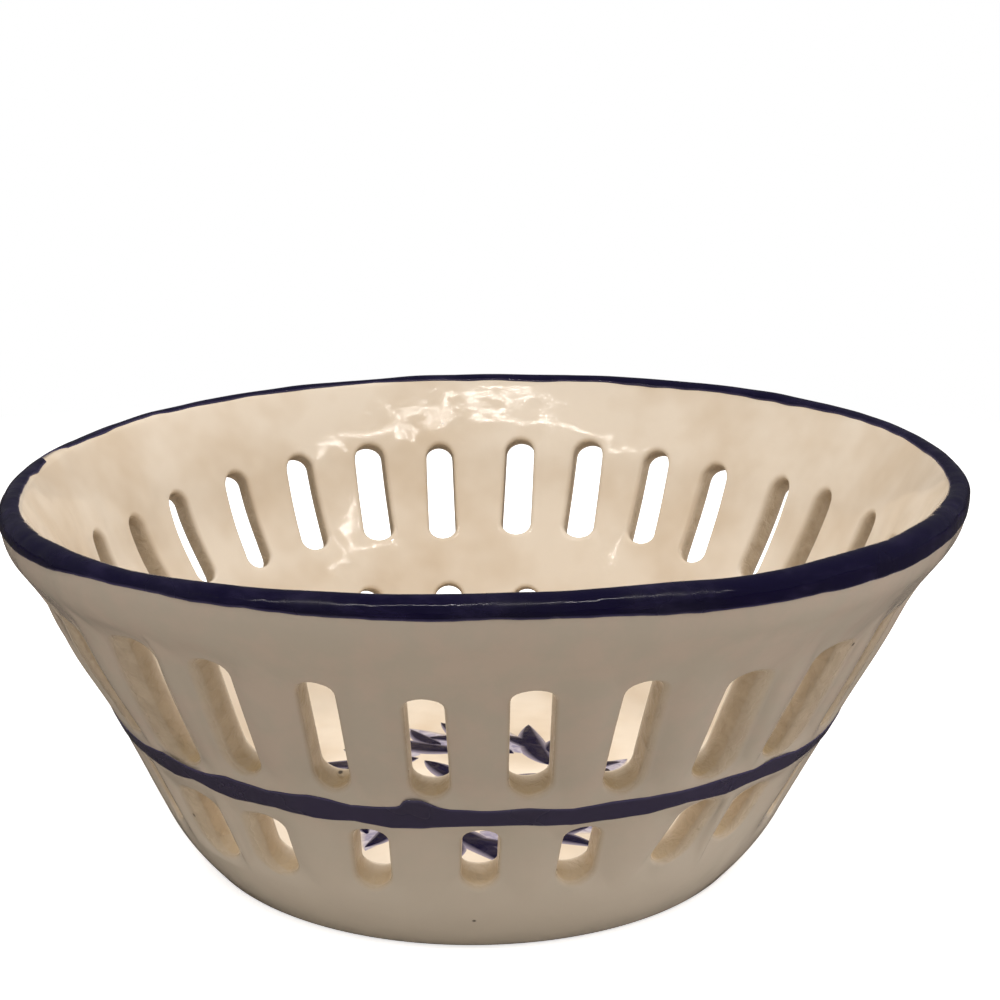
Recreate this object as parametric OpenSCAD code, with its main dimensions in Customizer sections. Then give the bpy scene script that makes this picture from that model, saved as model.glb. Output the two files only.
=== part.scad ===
// Berry colander bowl: a glazed stoneware bowl on a bare foot ring, with a leaning wall
// that is pierced by two rows of slots, a painted rim, a painted waist line and a painted floor.
// The origin is the centre of the resting face, with +Z up.

/* [Bowl] */
// Diameter across the rim, over its painted band
rim_d = 230; // [205:1:270]
// Height from the table to the top of the lip
bowl_h = 94; // [86:1:120]
// Diameter of the resting edge
base_d = 136.6; // [115:0.2:160]
// Thickness of the wall, measured level
wall_t = 6.6; // [5:0.1:8]
// Thickness of the rounded lip
lip_t = 5.8; // [4.4:0.1:7]
// Thickness of the floor
floor_t = 5.5; // [4:0.1:7]
// Radius of the cove where the floor turns up into the wall
cove_r = 9; // [6:0.5:12]

/* [Outline] */
// Height of the heel, where the wall turns straight
heel_h = 8.2; // [6:0.1:11]
// How far the heel spreads past the resting edge
heel_out = 6.6; // [4:0.1:8]
// Radius that rounds the heel
heel_round = 50; // [20:1:60]
// Depth below the top at which the wall starts to flare
flare_drop = 21; // [17:0.5:26]
// How far the flare stands out past the straight wall
flare_out = 9.5; // [7:0.1:14]
// Radius that rounds the start of the flare
flare_round = 30; // [10:1:30]
// Depth below the top at which the flare turns upright
brim_drop = 8.2; // [7:0.1:10]
// Radius that rounds the turn of the brim
brim_round = 9; // [4:0.5:9]

/* [Foot] */
// Height of the foot ring, which is also the depth of the hollow under the floor
foot_h = 2.5; // [1.5:0.1:4]
// Width of the resting face of the foot ring
foot_w = 8; // [5:0.5:14]
// Height at which the wall is luted onto the base dish
dish_h = 13.5; // [12:0.1:15]

/* [Slots] */
// Number of slots in the upper row
upper_count = 29; // [20:1:32]
// Number of slots in the lower row
lower_count = 23; // [14:1:26]
// Width of every slot at its throat
slot_w = 8.2; // [6:0.1:9]
// Level gap from the waist line up to the upper slots
upper_gap = 1.6; // [1.6:0.1:6]
// Level gap from the start of the flare down to the upper slots
top_gap = 0.6; // [0:0.1:8]
// Level gap from the waist line down to the lower slots
lower_gap = 3.8; // [1.6:0.1:6]
// Level gap from the luted joint up to the lower slots
foot_gap = 4; // [2:0.1:6]
// How much wider a slot opens on each side at the outer face
mouth_w = 1.1; // [0.4:0.1:1.5]
// Depth of the widened outer mouth
mouth_depth = 1.7; // [0.6:0.1:2.4]

/* [Paint] */
// Thickness of every painted layer
paint_t = 0.35; // [0.2:0.05:0.6]
// Height of the painted band down the outside of the rim
band_h = 5.6; // [4:0.1:7]
// Height of the middle of the waist line
waist_z = 40.7; // [38:0.1:46]
// Width of the waist line
waist_w = 4.6; // [2:0.1:5]
// Number of leaves in the wreath on the floor
leaf_count = 12; // [8:1:13]
// Number of petals in the rosette on the floor
petal_count = 7; // [5:1:8]

/* [Hidden] */
$fn = 120;

// Segments in the rounding of a corner, and in the half round of the lip
corner_steps = 4;
lip_steps = 12;
// One overrun serves every cut
over = 4;

// Radii and heights that follow from the sizes above
rim_r = rim_d / 2;
base_r = base_d / 2;
lip_r = lip_t / 2;
clay_r = rim_r - paint_t;
lip_z = bowl_h - paint_t - lip_r;
floor_z = foot_h + floor_t;

// Corners of the outer outline, each as radius and height
toe = [base_r, 0];
heel = [base_r + heel_out, heel_h];
shoulder = [clay_r - flare_out, bowl_h - flare_drop];
brim = [clay_r, bowl_h - brim_drop];
outer_lip = [clay_r, lip_z];

// Lean of the straight wall, and its outer radius at a height
lean = atan((shoulder.x - heel.x) / (shoulder.y - heel.y));
function wall_r(z) = heel.x + (z - heel.y) * tan(lean);

// Heights of the two edges of the waist line, whose seat is a face of its own
line_edges = [waist_z - waist_w / 2, waist_z + waist_w / 2];

// Corners of the inner outline
inner_lip = outer_lip - [lip_t, 0];
inner_brim = brim - [lip_t, 0];
inner_shoulder = shoulder - [wall_t, 0];
inner_corner = [wall_r(floor_z) - wall_t, floor_z];
floor_centre = [0, floor_z];
flat_r = inner_corner.x - cove_r * tan((90 - lean) / 2);

// Hand cutting sets each slot a little off the even pitch. The shares are of one pitch.
upper_shift_shares = [-0.33, -0.09, -0.22, -0.27, -0.23, -0.26, -0.30, -0.14, -0.06, 0.02,
    0.03, 0.05, 0.06, 0.09, 0.02, 0.17, 0.05, 0.07, 0.06, 0.15,
    0.13, 0.23, 0.18, 0.19, 0.21, 0.17, 0.04, -0.09, -0.21];
lower_shift_shares = [0.16, 0.14, -0.04, 0.04, 0.10, 0.04, 0.15, 0.10, 0.06, 0.03,
    -0.01, -0.05, -0.08, -0.12, -0.15, -0.19, -0.15, -0.11, -0.06, -0.02,
    0.03, 0.07, 0.12];
// Angles at which the even rows start
upper_start = -142.2;
lower_start = -153;

// Places and sizes of the floor painting, as shares of the flat floor's radius
leaf_place_share = 0.56;
leaf_length_share = 0.42;
leaf_width_share = 0.14;
wash_length_share = 0.34;
wash_width_share = 0.07;
petal_place_share = 0.22;
petal_length_share = 0.26;
petal_width_share = 0.1;
eye_share = 0.06;
// Turn of the leaves away from the radius
leaf_turn = 35;

// Points of an arc from one angle to another
function arc(centre, radius, from, to, steps) =
    [for (i = [0:steps]) let (a = from + (to - from) * i / steps) centre + radius * [cos(a), sin(a)]];

// Points that round the corner at c, between its neighbours a and b
function corner(a, c, b, radius) =
    let (
        u = (a - c) / norm(a - c),
        v = (b - c) / norm(b - c),
        half = acos(u * v) / 2,
        centre = c + (u + v) / norm(u + v) * radius / sin(half),
        reach = radius / tan(half),
        first = c + u * reach - centre,
        last = c + v * reach - centre,
        from = atan2(first.y, first.x),
        swing = atan2(last.y, last.x) - from,
        turn = swing > 180 ? swing - 360 : swing < -180 ? swing + 360 : swing
    )
    arc(centre, radius, from, from + turn, corner_steps);

// Half section of the whole clay body, from the axis out, with the hollow of the foot still filled
module body_section() {
    polygon(concat(
        [[0, 0], toe],
        corner(toe, heel, shoulder, heel_round),
        [for (z = line_edges) [wall_r(z), z]],
        corner(heel, shoulder, brim, flare_round),
        corner(shoulder, brim, outer_lip, brim_round),
        arc([clay_r - lip_r, lip_z], lip_r, 0, 180, lip_steps),
        corner(inner_lip, inner_brim, inner_shoulder, brim_round),
        corner(inner_brim, inner_shoulder, inner_corner, flare_round),
        corner(inner_shoulder, inner_corner, floor_centre, cove_r),
        [floor_centre]
    ));
}

// The part of the half section between two heights, from a radius outwards
module section_between(low, high, from_r = 0) {
    intersection() {
        body_section();
        translate([from_r, low])
            square([rim_r, high - low]);
    }
}

// A layer of paint on the outer side of the body, between two heights
module paint_section(low, high) {
    difference() {
        translate([paint_t, 0])
            section_between(low, high);
        section_between(0, bowl_h);
    }
}

// The throat of a slot: a straight stretch between two round ends
module slot_throat(run, width, depth) {
    for (side = [-1, 1])
        translate([side * run / 2, 0, 0])
            cylinder(h = depth, d = width);
    translate([-run / 2, -width / 2, 0])
        cube([run, width, depth]);
}

// A widened mouth: it opens from the throat's width by spread on each side over its depth,
// and goes on opening at the same rate for the overrun
module slot_mouth(run, width, spread, depth) {
    half = width / 2;
    rise = depth + over;
    wide = half + spread * rise / depth;
    for (side = [-1, 1])
        translate([side * run / 2, 0, 0])
            cylinder(h = rise, r1 = half, r2 = wide);
    rotate([90, 0, 90])
        translate([0, 0, -run / 2])
            linear_extrude(run)
                polygon([[-half, 0], [half, 0], [wide, rise], [-wide, rise]]);
}

// The tool that cuts one slot, square to the wall, between two heights of the outer face
module slot_cutter(low, high) {
    mid = (low + high) / 2;
    run = (high - low) / cos(lean) - slot_w;
    thick = wall_t * cos(lean);
    translate([wall_r(mid), 0, mid])
        rotate([0, 90 + lean, 0]) {
            translate([0, 0, -thick - over])
                slot_throat(run, slot_w, thick + 2 * over);
            translate([0, 0, -mouth_depth])
                slot_mouth(run, slot_w, mouth_w, mouth_depth);
        }
}

// A row of slots round the wall, at the even pitch with each slot's own shift
module slot_row(count, start, shift_shares, low, high) {
    pitch = 360 / count;
    for (i = [0:count - 1])
        rotate(start + pitch * (i + shift_shares[i % len(shift_shares)]))
            slot_cutter(low, high);
}

module pierced_wall() {
    color("antiquewhite")
        difference() {
            rotate_extrude()
                section_between(dish_h, bowl_h);
            slot_row(upper_count, upper_start, upper_shift_shares,
                line_edges[1] + upper_gap, shoulder.y - top_gap);
            slot_row(lower_count, lower_start, lower_shift_shares,
                dish_h + foot_gap, line_edges[0] - lower_gap);
        }
}

module base_dish() {
    color("linen")
        rotate_extrude()
            section_between(foot_h, dish_h);
}

module foot_ring() {
    color("tan")
        rotate_extrude()
            section_between(0, foot_h, base_r - foot_w);
}

// The band laps over the lip and down its outer side
module rim_band() {
    color("midnightblue")
        rotate_extrude() {
            polygon(concat(
                arc([clay_r - lip_r, lip_z], lip_r + paint_t, 0, 180, lip_steps),
                arc([clay_r - lip_r, lip_z], lip_r, 180, 0, lip_steps)
            ));
            paint_section(bowl_h - band_h, lip_z);
        }
}

module waist_line() {
    color("darkslateblue")
        rotate_extrude()
            paint_section(line_edges[0], line_edges[1]);
}

// A leaf with two pointed ends, bounded by two equal arcs
module leaf_outline(length, width) {
    r = (length * length + width * width) / (4 * width);
    intersection() {
        translate([0, r - width / 2])
            circle(r = r);
        translate([0, width / 2 - r])
            circle(r = r);
    }
}

// A ring of painted leaves on the floor
module leaf_ring(count, offset, place, length, width, turn) {
    translate([0, 0, floor_z])
        linear_extrude(paint_t)
            for (i = [0:count - 1])
                rotate((i + offset) * 360 / count)
                    translate([place, 0])
                        rotate(turn)
                            leaf_outline(length, width);
}

module floor_leaves() {
    color("midnightblue")
        leaf_ring(leaf_count, 0, flat_r * leaf_place_share, flat_r * leaf_length_share,
            flat_r * leaf_width_share, leaf_turn);
}

module floor_washes() {
    color("slategray")
        leaf_ring(leaf_count, 1 / 2, flat_r * leaf_place_share, flat_r * wash_length_share,
            flat_r * wash_width_share, leaf_turn);
}

module floor_rosette() {
    color("midnightblue") {
        leaf_ring(petal_count, 0, flat_r * petal_place_share, flat_r * petal_length_share,
            flat_r * petal_width_share, 0);
        translate([0, 0, floor_z])
            cylinder(h = paint_t, r = flat_r * eye_share);
    }
}

pierced_wall();
base_dish();
foot_ring();
rim_band();
waist_line();
floor_leaves();
floor_washes();
floor_rosette();
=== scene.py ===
import math

import bmesh
import bpy
import numpy as np
from mathutils import Matrix, Vector, noise


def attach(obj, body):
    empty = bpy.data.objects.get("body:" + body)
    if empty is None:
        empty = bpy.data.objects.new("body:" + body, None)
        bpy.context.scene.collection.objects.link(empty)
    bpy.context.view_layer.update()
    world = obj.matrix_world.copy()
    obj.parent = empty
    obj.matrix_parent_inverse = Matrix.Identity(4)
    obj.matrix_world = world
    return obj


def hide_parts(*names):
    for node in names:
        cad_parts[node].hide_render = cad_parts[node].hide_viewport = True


# Berry colander bowl: stoneware under a cream glaze, with a painted rim, waist line and floor.
# The dictionaries are in millimetres and degrees. The meshes are in metres, in the frame's own axes.
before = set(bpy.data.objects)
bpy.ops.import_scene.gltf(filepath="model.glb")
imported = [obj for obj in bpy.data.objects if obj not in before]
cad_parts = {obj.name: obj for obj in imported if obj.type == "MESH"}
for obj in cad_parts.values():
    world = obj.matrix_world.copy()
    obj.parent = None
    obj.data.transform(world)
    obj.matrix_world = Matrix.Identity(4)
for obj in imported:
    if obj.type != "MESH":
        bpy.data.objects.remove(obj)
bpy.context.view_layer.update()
mm = 0.001


def addObject(name, data):
    thing = bpy.data.objects.new(name, data)
    bpy.context.scene.collection.objects.link(thing)
    return thing


def newMesh(name, places, faces=(), marks=None, closed=True):
    # A mesh with its marks as named numbers on the points. A closed one has its faces turned outwards.
    mesh = bpy.data.meshes.new(name)
    mesh.from_pydata(places, [], faces)
    for mark, numbers in (marks or {}).items():
        mesh.attributes.new(mark, "FLOAT", "POINT").data.foreach_set("value", numbers)
    if closed:
        bm = bmesh.new()
        bm.from_mesh(mesh)
        bmesh.ops.recalc_face_normals(bm, faces=bm.faces)
        bm.to_mesh(mesh)
        bm.free()
    return mesh


def linear(hexColour):
    parts = [int(hexColour[i:i + 2], 16) / 255 for i in (1, 3, 5)]
    return [c / 12.92 if c <= 0.04045 else ((c + 0.055) / 1.055) ** 2.4 for c in parts] + [1.0]


def addNode(tree, kind, inputs=(), **settings):
    # The inputs come by name or in order. Each is a value, a hex colour, a socket, or a node, which stands
    # for its first output in use.
    node = tree.nodes.new(kind)
    for name, value in settings.items():
        setattr(node, name, value)
    for key, value in inputs.items() if isinstance(inputs, dict) else enumerate(inputs):
        if isinstance(value, bpy.types.Node):
            value = next(socket for socket in value.outputs if socket.enabled)
        if isinstance(value, bpy.types.NodeSocket):
            tree.links.new(value, node.inputs[key])
        else:
            node.inputs[key].default_value = linear(value) if str(value).startswith("#") else value
    return node


print("camera")
shot = {
    "place": (0.0, -435.0, 196.3),
    "pitch": 14.506,  # looks down by this much
    "yaw": 0.848,  # and to the right by this much
    "roll": 0.137,
    "focalPixels": 1837.2,
    "imagePixels": 1000,
    "sensor": 36.0,
    "clip": (10.0, 20000.0),
}


def makeCamera():
    pitch, yaw, roll = (math.radians(shot[k]) for k in ("pitch", "yaw", "roll"))
    turns = ((-yaw, "Z"), (math.pi / 2 - pitch, "X"), (roll, "Z"))
    yawed, pitched, rolled = (Matrix.Rotation(angle, 4, axis) for angle, axis in turns)
    data = bpy.data.cameras.new("photoCamera")
    data.sensor_width = shot["sensor"]
    data.lens = shot["focalPixels"] / shot["imagePixels"] * shot["sensor"]
    data.clip_start, data.clip_end = (distance * mm for distance in shot["clip"])
    camera = addObject("photoCamera", data)
    camera.matrix_world = Matrix.Translation(Vector(shot["place"]) * mm) @ yawed @ pitched @ rolled
    bpy.context.scene.camera = camera


makeCamera()

print("materials")


def perMetre(size):
    # A pattern's scale from the size in mm of one of its cells.
    return 1 / (size * mm)


def newMaterial(name):
    # An empty material, its tree and the Object coordinates that its patterns follow.
    material = bpy.data.materials.new(name)
    material.use_nodes = True
    tree = material.node_tree
    tree.nodes.clear()
    return material, tree, addNode(tree, "ShaderNodeTexCoord").outputs["Object"]


def finishMaterial(material, shader):
    addNode(material.node_tree, "ShaderNodeOutputMaterial", {"Surface": shader})
    return material


glaze = {
    "inner": "#e9ddcb",  # clear glaze pooled over cream slip
    "outer": "#aea092",  # the same glaze, painted darker and greyer outside as shade, since the outer wall faces down, away from the overhead light
    "outerCool": "#a99f91",
    "outerFootLight": "#cdc2b2",  # and painted lighter towards the foot: painted light from the white floor below
    "footLightHeights": (6.0, 50.0),  # heights over which the painted light fades out going up
    "warm": "#d4c1a7",  # where it runs thick
    "cut": "#b3a188",  # cut faces, where the clay shows through a thin coat
    "cutDark": "#a08d73",
    "pool": "#9a8564",  # the up-facing sills: darker where the glaze ran together, and painted shade that keeps them as dark as the sides
    "cutFootLight": "#d8c2a2",  # cut faces near the foot, painted lighter with the same painted light
    "footLightShare": 0.75,
    "speck": "#2a2320",
    # size, detail, roughness and distortion of each pattern
    "noises": {
        "cloud": (30.0, 3.0, 0.55, 0.0),
        "patch": (9.0, 4.0, 0.6, 0.0),
        "streak": (3.6, 3.0, 0.6, 0.4),
        "peel": (4.5, 2.0, 0.5, 0.0),  # the glaze's fine orange peel
        "wave": (13.0, 1.0, 0.5, 0.0),  # and its slower waves
    },
    # the part of each pattern's range in use and, where it isn't 0 to 1, what that turns to
    "ranges": {
        "cloud": (0.42, 0.66, 0.0, 0.7),
        "patch": (0.4, 0.6),
        "streak": (0.4, 0.75),
        "speck": (0.035, 0.07, 0.85, 0.0),
    },
    "peelDeep": 0.07,
    "waveDeep": 0.4,
    "scrapeDeep": 0.9,  # the knife's marks on the cut faces
    "speckSize": 9.0,
    "speckShare": 0.07,  # how many of the cells have a speck
    "gloss": (0.07, 0.13),  # roughness of the coat
    "dryness": 0.3,  # and how much rougher a cut face is
}


def creamGlaze():
    # Stoneware under a dipped clear glaze: cream and glossy, cloudy where the coat is uneven,
    # tan on the cut faces of the slots, with a few iron specks. Painted shade darkens the outside
    # and the up-facing sills, and painted light brightens the outside towards the foot.
    material, tree, place = newMaterial("creamGlaze")
    cut, outside, pool = (
        addNode(tree, "ShaderNodeAttribute", attribute_name=name).outputs["Fac"]
        for name in ("cut", "outside", "pool"))
    cloud, patch, streak, peel, wave = (
        addNode(tree, "ShaderNodeTexNoise", {
            "Vector": place, "Scale": perMetre(size), "Detail": detail, "Roughness": rough, "Distortion": twist})
        for size, detail, rough, twist in glaze["noises"].values())
    cell = addNode(tree, "ShaderNodeTexVoronoi", {"Vector": place, "Scale": perMetre(glaze["speckSize"])})
    height = addNode(tree, "ShaderNodeSeparateXYZ", [place]).outputs["Z"]
    # The painted light towards the foot: full at the lower height, none at the upper.
    low, high = (z * mm for z in glaze["footLightHeights"])
    footLit = addNode(tree, "ShaderNodeMapRange", [height, high, low])
    cloudy, patchy, streaky, near = (
        addNode(tree, "ShaderNodeMapRange", [pattern, *part])
        for pattern, part in zip((cloud, patch, streak, cell), glaze["ranges"].values()))
    cutFootLit = addNode(tree, "ShaderNodeMath", [footLit, glaze["footLightShare"]], operation="MULTIPLY")
    lot = addNode(tree, "ShaderNodeSeparateColor", [cell.outputs["Color"]])
    chosen = addNode(tree, "ShaderNodeMath", [lot, 1 - glaze["speckShare"]], operation="GREATER_THAN")
    speck = addNode(tree, "ShaderNodeMath", [chosen, near], operation="MULTIPLY")
    # The colours in layers: each row lays one colour over another by its share. They are a Mix's 6 and 7.
    layers = {}
    for name, under, over, share in (
            ("inner", glaze["inner"], glaze["warm"], cloudy),
            ("outer", glaze["outer"], glaze["outerCool"], patchy),
            # painted light: the outside lighter towards the foot
            ("outer", "outer", glaze["outerFootLight"], footLit),
            # painted shade: the outer side takes the darker copy of the glaze
            ("coat", "inner", "outer", outside),
            ("sill", glaze["cut"], glaze["cutDark"], streaky),
            # the up-facing sills: pooled glaze and painted shade
            ("sill", "sill", glaze["pool"], pool),
            # painted light on the cut faces near the foot
            ("sill", "sill", glaze["cutFootLight"], cutFootLit),
            ("coat", "coat", "sill", cut),
            ("coat", "coat", glaze["speck"], speck)):
        layers[name] = addNode(tree, "ShaderNodeMix", {
            "Factor": share, 6: layers.get(under, under), 7: layers.get(over, over)}, data_type="RGBA")
    level = addNode(tree, "ShaderNodeMath", [streak, 0.5], operation="SUBTRACT")
    scrape = addNode(tree, "ShaderNodeMath", [level, cut], operation="MULTIPLY")
    relief = {}
    for bumps, deep in ((wave, "waveDeep"), (peel, "peelDeep"), (scrape, "scrapeDeep")):
        relief["Normal"] = addNode(tree, "ShaderNodeBump", {
            "Height": bumps, "Strength": 1.0, "Distance": glaze[deep] * mm, **relief})
    sheen = addNode(tree, "ShaderNodeMapRange", [streaky, 0.0, 1.0, *glaze["gloss"]])
    dry = addNode(tree, "ShaderNodeMath", [cut, glaze["dryness"], sheen], operation="MULTIPLY_ADD")
    shader = addNode(tree, "ShaderNodeBsdfPrincipled", {
        "Base Color": layers["coat"], "Roughness": dry, "IOR": 1.5, **relief})
    return finishMaterial(material, shader)


cobalt = {
    "deep": "#0f0b27",
    "thin": "#2b2643",  # where the brush left it thin
    "pale": "#3c374a",  # the watered colour of the waist line
    "edge": "#4a4560",  # where the brush ended on the clay
    "bleed": "#a49cac",  # where it bled into the wet floor glaze
    # size, detail and roughness of each pattern
    "noises": {
        "pool": (17.0, 3.0, 0.5),
        "brush": (7.2, 5.0, 0.65),
        "lump": (7.0, 2.0, 0.5),
        "dull": (14.0, 2.0, 0.5),
    },
    "brushDrag": 3.5,  # the brush's streaks are this much longer than high
    "lumpDeep": 0.5,
    "brushDeep": 0.2,
    "brushStrength": 0.12,
    "thinned": (0.24, 0.46, 0.0, 0.6),  # where pool and brush together leave it thin, and by how much
    "dulled": (0.4, 0.6),
    "gloss": (0.06, 0.28),
}


def blueGlaze(name, specular, rimmed):
    # Cobalt underglaze put on with a loaded brush under the clear coat: near black where it pools,
    # with faint strokes where the brush left it thin, and duller where it is heavy.
    material, tree, place = newMaterial(name)
    watered, edge = (
        addNode(tree, "ShaderNodeAttribute", attribute_name=mark).outputs["Fac"] for mark in ("watered", "edge"))
    dragged = addNode(tree, "ShaderNodeMapping", {"Vector": place, "Scale": (1, 1, cobalt["brushDrag"])})
    pool, brush, lump, dull = (
        addNode(tree, "ShaderNodeTexNoise", {
            "Vector": dragged if pattern == "brush" else place, "Scale": perMetre(size), "Detail": detail,
            "Roughness": rough})
        for pattern, (size, detail, rough) in cobalt["noises"].items())
    both = addNode(tree, "ShaderNodeMath", [pool, brush], operation="MULTIPLY")
    colour = cobalt["deep"]
    thin = addNode(tree, "ShaderNodeMapRange", [both, *cobalt["thinned"]])
    for share, over in ((thin, cobalt["thin"]), (watered, cobalt["pale"]), (edge, rimmed)):
        colour = addNode(tree, "ShaderNodeMix", {"Factor": share, 6: colour, 7: over}, data_type="RGBA")
    lumpy = addNode(tree, "ShaderNodeBump", {"Height": lump, "Strength": 1.0, "Distance": cobalt["lumpDeep"] * mm})
    relief = addNode(tree, "ShaderNodeBump", {
        "Height": brush, "Strength": cobalt["brushStrength"], "Distance": cobalt["brushDeep"] * mm,
        "Normal": lumpy})
    sheen = addNode(tree, "ShaderNodeMapRange", [dull, *cobalt["dulled"], *cobalt["gloss"]])
    shader = addNode(tree, "ShaderNodeBsdfPrincipled", {
        "Base Color": colour, "Roughness": sheen, "Specular IOR Level": specular, "IOR": 1.5, "Normal": relief})
    return finishMaterial(material, shader)


wash = {
    "full": "#8f8aa2",
    "pale": "#bdb8c4",
    "bleed": "#ddd0c0",
    "brushSize": 3.0,
    "thinned": (0.4, 0.65),
    "gloss": 0.2,
}


def lilacWash():
    # The same cobalt thinned with water: a streaky grey lilac under the clear coat.
    material, tree, place = newMaterial("lilacWash")
    brush = addNode(tree, "ShaderNodeTexNoise", {
        "Vector": place, "Scale": perMetre(wash["brushSize"]), "Detail": 4.0, "Distortion": 1.2})
    thin = addNode(tree, "ShaderNodeMapRange", [brush, *wash["thinned"]])
    edge = addNode(tree, "ShaderNodeAttribute", attribute_name="edge").outputs["Fac"]
    colour = wash["full"]
    for share, over in ((thin, wash["pale"]), (edge, wash["bleed"])):
        colour = addNode(tree, "ShaderNodeMix", {"Factor": share, 6: colour, 7: over}, data_type="RGBA")
    shader = addNode(tree, "ShaderNodeBsdfPrincipled", {
        "Base Color": colour, "Roughness": wash["gloss"], "IOR": 1.5})
    return finishMaterial(material, shader)


clay = {
    "pale": "#cdb593",
    "dark": "#a98c66",
    "grogSize": 1.1,
    "grogDeep": 0.3,
    "darkened": (0.42, 0.7),
    "gloss": 0.85,
}


def bareClay():
    # Fired clay wiped clean of glaze: matt and sandy, with darker grog.
    material, tree, place = newMaterial("bareClay")
    grog = addNode(tree, "ShaderNodeTexNoise", {
        "Vector": place, "Scale": perMetre(clay["grogSize"]), "Detail": 6.0, "Roughness": 0.75})
    dark = addNode(tree, "ShaderNodeMapRange", [grog, *clay["darkened"]])
    colour = addNode(tree, "ShaderNodeMix", {"Factor": dark, 6: clay["pale"], 7: clay["dark"]}, data_type="RGBA")
    relief = addNode(tree, "ShaderNodeBump", {"Height": grog, "Strength": 0.4, "Distance": clay["grogDeep"] * mm})
    shader = addNode(tree, "ShaderNodeBsdfPrincipled", {
        "Base Color": colour, "Roughness": clay["gloss"], "Normal": relief})
    return finishMaterial(material, shader)


creamFinish = creamGlaze()
blueFinish = blueGlaze("cobaltBrushed", 0.5, cobalt["edge"])
floorFinish = blueGlaze("cobaltOnFloor", 0.06, cobalt["bleed"])
washFinish = lilacWash()
clayFinish = bareClay()

print("section")
bowl = {
    "clayRadius": 114.65,
    "clayTop": 93.65,
    "lip": 5.8,  # thickness of the rounded lip
    "wall": 6.9,  # thickness square to the straight wall
    "toe": (68.5, 0.5),  # corners of the outer outline, as radius and height
    "heel": (74.9, 8.2),
    "heelRound": 50.0,
    "shoulder": (105.15, 73.0),
    "shoulderRound": 50.0,
    "brim": (114.65, 85.8),
    "brimRound": 13.5,
    "straightTop": 70.0,  # from this height the inside runs straight up to the round of the lip
    "floorTop": 8.0,
    "flatRadius": 61.5,  # the flat of the floor, inside the cove
    "cove": 9.0,
    "waist": 40.7,
    "wallLean": 25.02,
    # the underside from the foot inwards, and the lines on the floor
    "underside": [(68.2, 0.25), (67.8, 0.25), (67.5, 0.8), (64.0, 0.8), (60.6, 0.8), (60.4, 0.45), (60.0, 0.6),
                  (59.4, 2.2), (58.9, 2.5), (56, 2.5), (48, 2.5), (38, 2.5), (27, 2.5), (16, 2.5), (6, 2.5)],
    "floorLines": (58, 54, 49.5, 45, 40, 35, 30, 25, 20, 15, 10, 6),
    # lines of points up to the lip, over it and down inside it, down to the foot, and round the cove
    "lines": {"up": 13, "over": 14, "down": 11, "foot": 15, "cove": 9},
}


def arc(centre, radius, start, end, steps):
    angles = np.radians(np.linspace(start, end, steps + 1))
    return [(centre[0] + radius * math.cos(a), centre[1] + radius * math.sin(a)) for a in angles]


def roundCorner(before, corner, after, radius, steps):
    a, c, b = (np.array(p, float) for p in (before, corner, after))
    u, v = (a - c) / np.linalg.norm(a - c), (b - c) / np.linalg.norm(b - c)
    half = math.acos(np.clip(u @ v, -1, 1)) / 2
    centre = c + (u + v) / np.linalg.norm(u + v) * radius / math.sin(half)
    first, last = (c + w * radius / math.tan(half) - centre for w in (u, v))
    start = math.degrees(math.atan2(first[1], first[0]))
    swing = (math.degrees(math.atan2(last[1], last[0])) - start + 180) % 360 - 180
    return arc(centre, radius, start, start + swing, steps)


lipRadius = bowl["lip"] / 2
lipCentre = (bowl["clayRadius"] - lipRadius, bowl["clayTop"] - lipRadius)
outerTop = (bowl["clayRadius"], lipCentre[1])
corners = [bowl["toe"], bowl["heel"], bowl["shoulder"], bowl["brim"], outerTop]
outline = [bowl["toe"]]
for i, (name, steps) in enumerate((("heelRound", 10), ("shoulderRound", 12), ("brimRound", 12))):
    outline += roundCorner(*corners[i:i + 3], bowl[name], steps)
outline = np.array(outline + [outerTop])
travel = np.concatenate([[0], np.cumsum(np.linalg.norm(np.diff(outline, axis=0), axis=1))])
travel -= np.interp(bowl["waist"], outline[:, 1], travel)  # zero at the waist line, rising upwards


def onWall(along, depth=0.0):
    # Radius and height of a place on the outer outline, or that deep inside it.
    step = 0.8  # the direction is measured over this much to either side
    r, z = (np.interp(along, travel, outline[:, i]) for i in (0, 1))
    ahead, behind = ([np.interp(a, travel, outline[:, i]) for i in (0, 1)] for a in (along + step, along - step))
    dr, dz = ahead[0] - behind[0], ahead[1] - behind[1]
    size = np.hypot(dr, dz)
    return r - depth * dz / size, z + depth * dr / size


def alongAt(height):
    return float(np.interp(height, outline[:, 1], travel))


# The inner line's lean under the lip follows from the round that it has to touch.
innerTop = onWall(alongAt(bowl["straightTop"]), bowl["wall"])
lipLean = 0.5
for _ in range(20):
    lipLean = math.atan2(lipCentre[0] - lipRadius * math.cos(lipLean) - innerTop[0],
                         lipCentre[1] + lipRadius * math.sin(lipLean) - innerTop[1])
lipEnd = math.pi - lipLean


def depthAt(along):
    if along <= alongAt(bowl["straightTop"]):
        return bowl["wall"]
    (r, z), (r2, z2) = onWall(along), onWall(along, 1.0)
    square = (math.cos(lipLean), -math.sin(lipLean))
    return (((innerTop[0] - r) * square[0] + (innerTop[1] - z) * square[1])
            / ((r2 - r) * square[0] + (z2 - z) * square[1]))


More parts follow.
